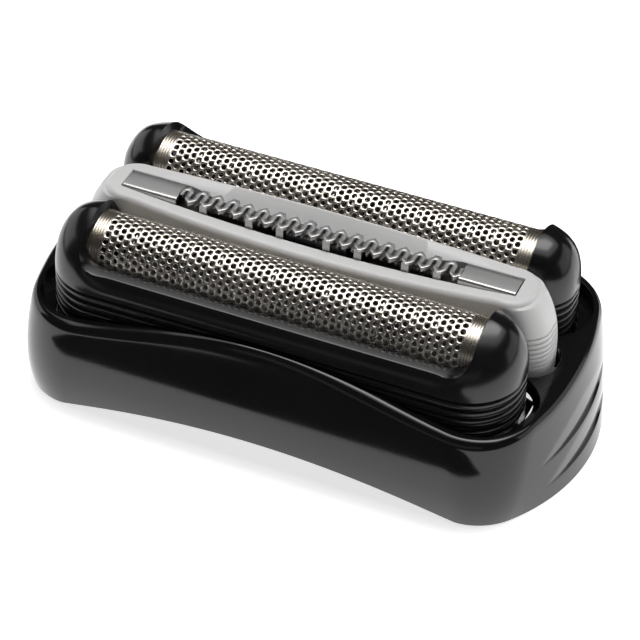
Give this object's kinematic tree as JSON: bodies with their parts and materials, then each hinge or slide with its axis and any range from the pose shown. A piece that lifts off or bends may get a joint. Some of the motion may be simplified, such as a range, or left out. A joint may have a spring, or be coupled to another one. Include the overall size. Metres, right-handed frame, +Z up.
{
  "type": "shaver foil head",
  "caption": "Clip-on foil head of an electric shaver: black cassette with sprung foil holders, perforated steel foils, a white trimmer bar and the oscillating cutters inside",
  "frame": {"origin": "centre of the plane the housing's lower edge stands on", "axes": "+X along the foils to the right end, +Y to the rear foil, +Z up towards the skin side"},
  "size_m": [0.056, 0.0298, 0.0183],
  "materials": {
    "gloss_black": "polished ABS",
    "dark_plastic": "as-moulded acetal",
    "white_plastic": "satin ABS",
    "foil_steel": "electroformed nickel, bright",
    "blade_steel": "ground stainless",
    "spring_steel": "drawn wire"
  },
  "bodies": {
    "root": {"housing": "gloss_black", "retainer": "dark_plastic", "front_float_spring_left": "spring_steel", "front_float_spring_right": "spring_steel", "rear_float_spring_left": "spring_steel", "rear_float_spring_right": "spring_steel", "trimmer_float_spring_left": "spring_steel", "trimmer_float_spring_right": "spring_steel"},
    "front_foil_unit": {"front_foil_holder": "gloss_black", "front_foil": "foil_steel"},
    "rear_foil_unit": {"rear_foil_holder": "gloss_black", "rear_foil": "foil_steel"},
    "trimmer_unit": {"trimmer_holder": "white_plastic", "trimmer_comb": "blade_steel"},
    "drive": {"drive_bridge": "dark_plastic", "front_cutter_spring": "spring_steel", "rear_cutter_spring": "spring_steel"},
    "front_cutter": {"front_cutter_carrier": "dark_plastic", "front_cutter_blades": "blade_steel"},
    "rear_cutter": {"rear_cutter_carrier": "dark_plastic", "rear_cutter_blades": "blade_steel"},
    "trimmer_cutter": {"trimmer_blade": "blade_steel", "trimmer_slider": "dark_plastic"}
  },
  "joints": [
    {"name": "front_foil_float", "type": "slide", "parent": "root", "child": "front_foil_unit", "axis": [0, 0, 1], "range_m": [-0.0015, 0], "stiffness_N_per_m": 600, "springref_m": 0.001, "deforming": ["front_float_spring_left", "front_float_spring_right", "front_cutter_spring"]},
    {"name": "rear_foil_float", "type": "slide", "parent": "root", "child": "rear_foil_unit", "axis": [0, 0, 1], "range_m": [-0.0015, 0], "stiffness_N_per_m": 600, "springref_m": 0.001, "deforming": ["rear_float_spring_left", "rear_float_spring_right", "rear_cutter_spring"]},
    {"name": "trimmer_float", "type": "slide", "parent": "root", "child": "trimmer_unit", "axis": [0, 0, 1], "range_m": [-0.0013, 0], "stiffness_N_per_m": 600, "springref_m": 0.001, "deforming": ["trimmer_float_spring_left", "trimmer_float_spring_right"]},
    {"name": "drive_slide", "type": "slide", "parent": "root", "child": "drive", "axis": [1, 0, 0], "range_m": [-0.0011, 0.0011]},
    {"name": "front_cutter_slide", "type": "slide", "parent": "front_foil_unit", "child": "front_cutter", "axis": [1, 0, 0], "range_m": [-0.0011, 0.0011]},
    {"name": "rear_cutter_slide", "type": "slide", "parent": "rear_foil_unit", "child": "rear_cutter", "axis": [1, 0, 0], "range_m": [-0.0011, 0.0011]},
    {"name": "trimmer_slide", "type": "slide", "parent": "trimmer_unit", "child": "trimmer_cutter", "axis": [1, 0, 0], "range_m": [-0.0011, 0.0011]}
  ],
  "couplings": [
    {"joint": "front_cutter_slide", "follows": "drive_slide", "ratio": 1},
    {"joint": "rear_cutter_slide", "follows": "drive_slide", "ratio": 1},
    {"joint": "trimmer_slide", "follows": "drive_slide", "ratio": 1}
  ]
}
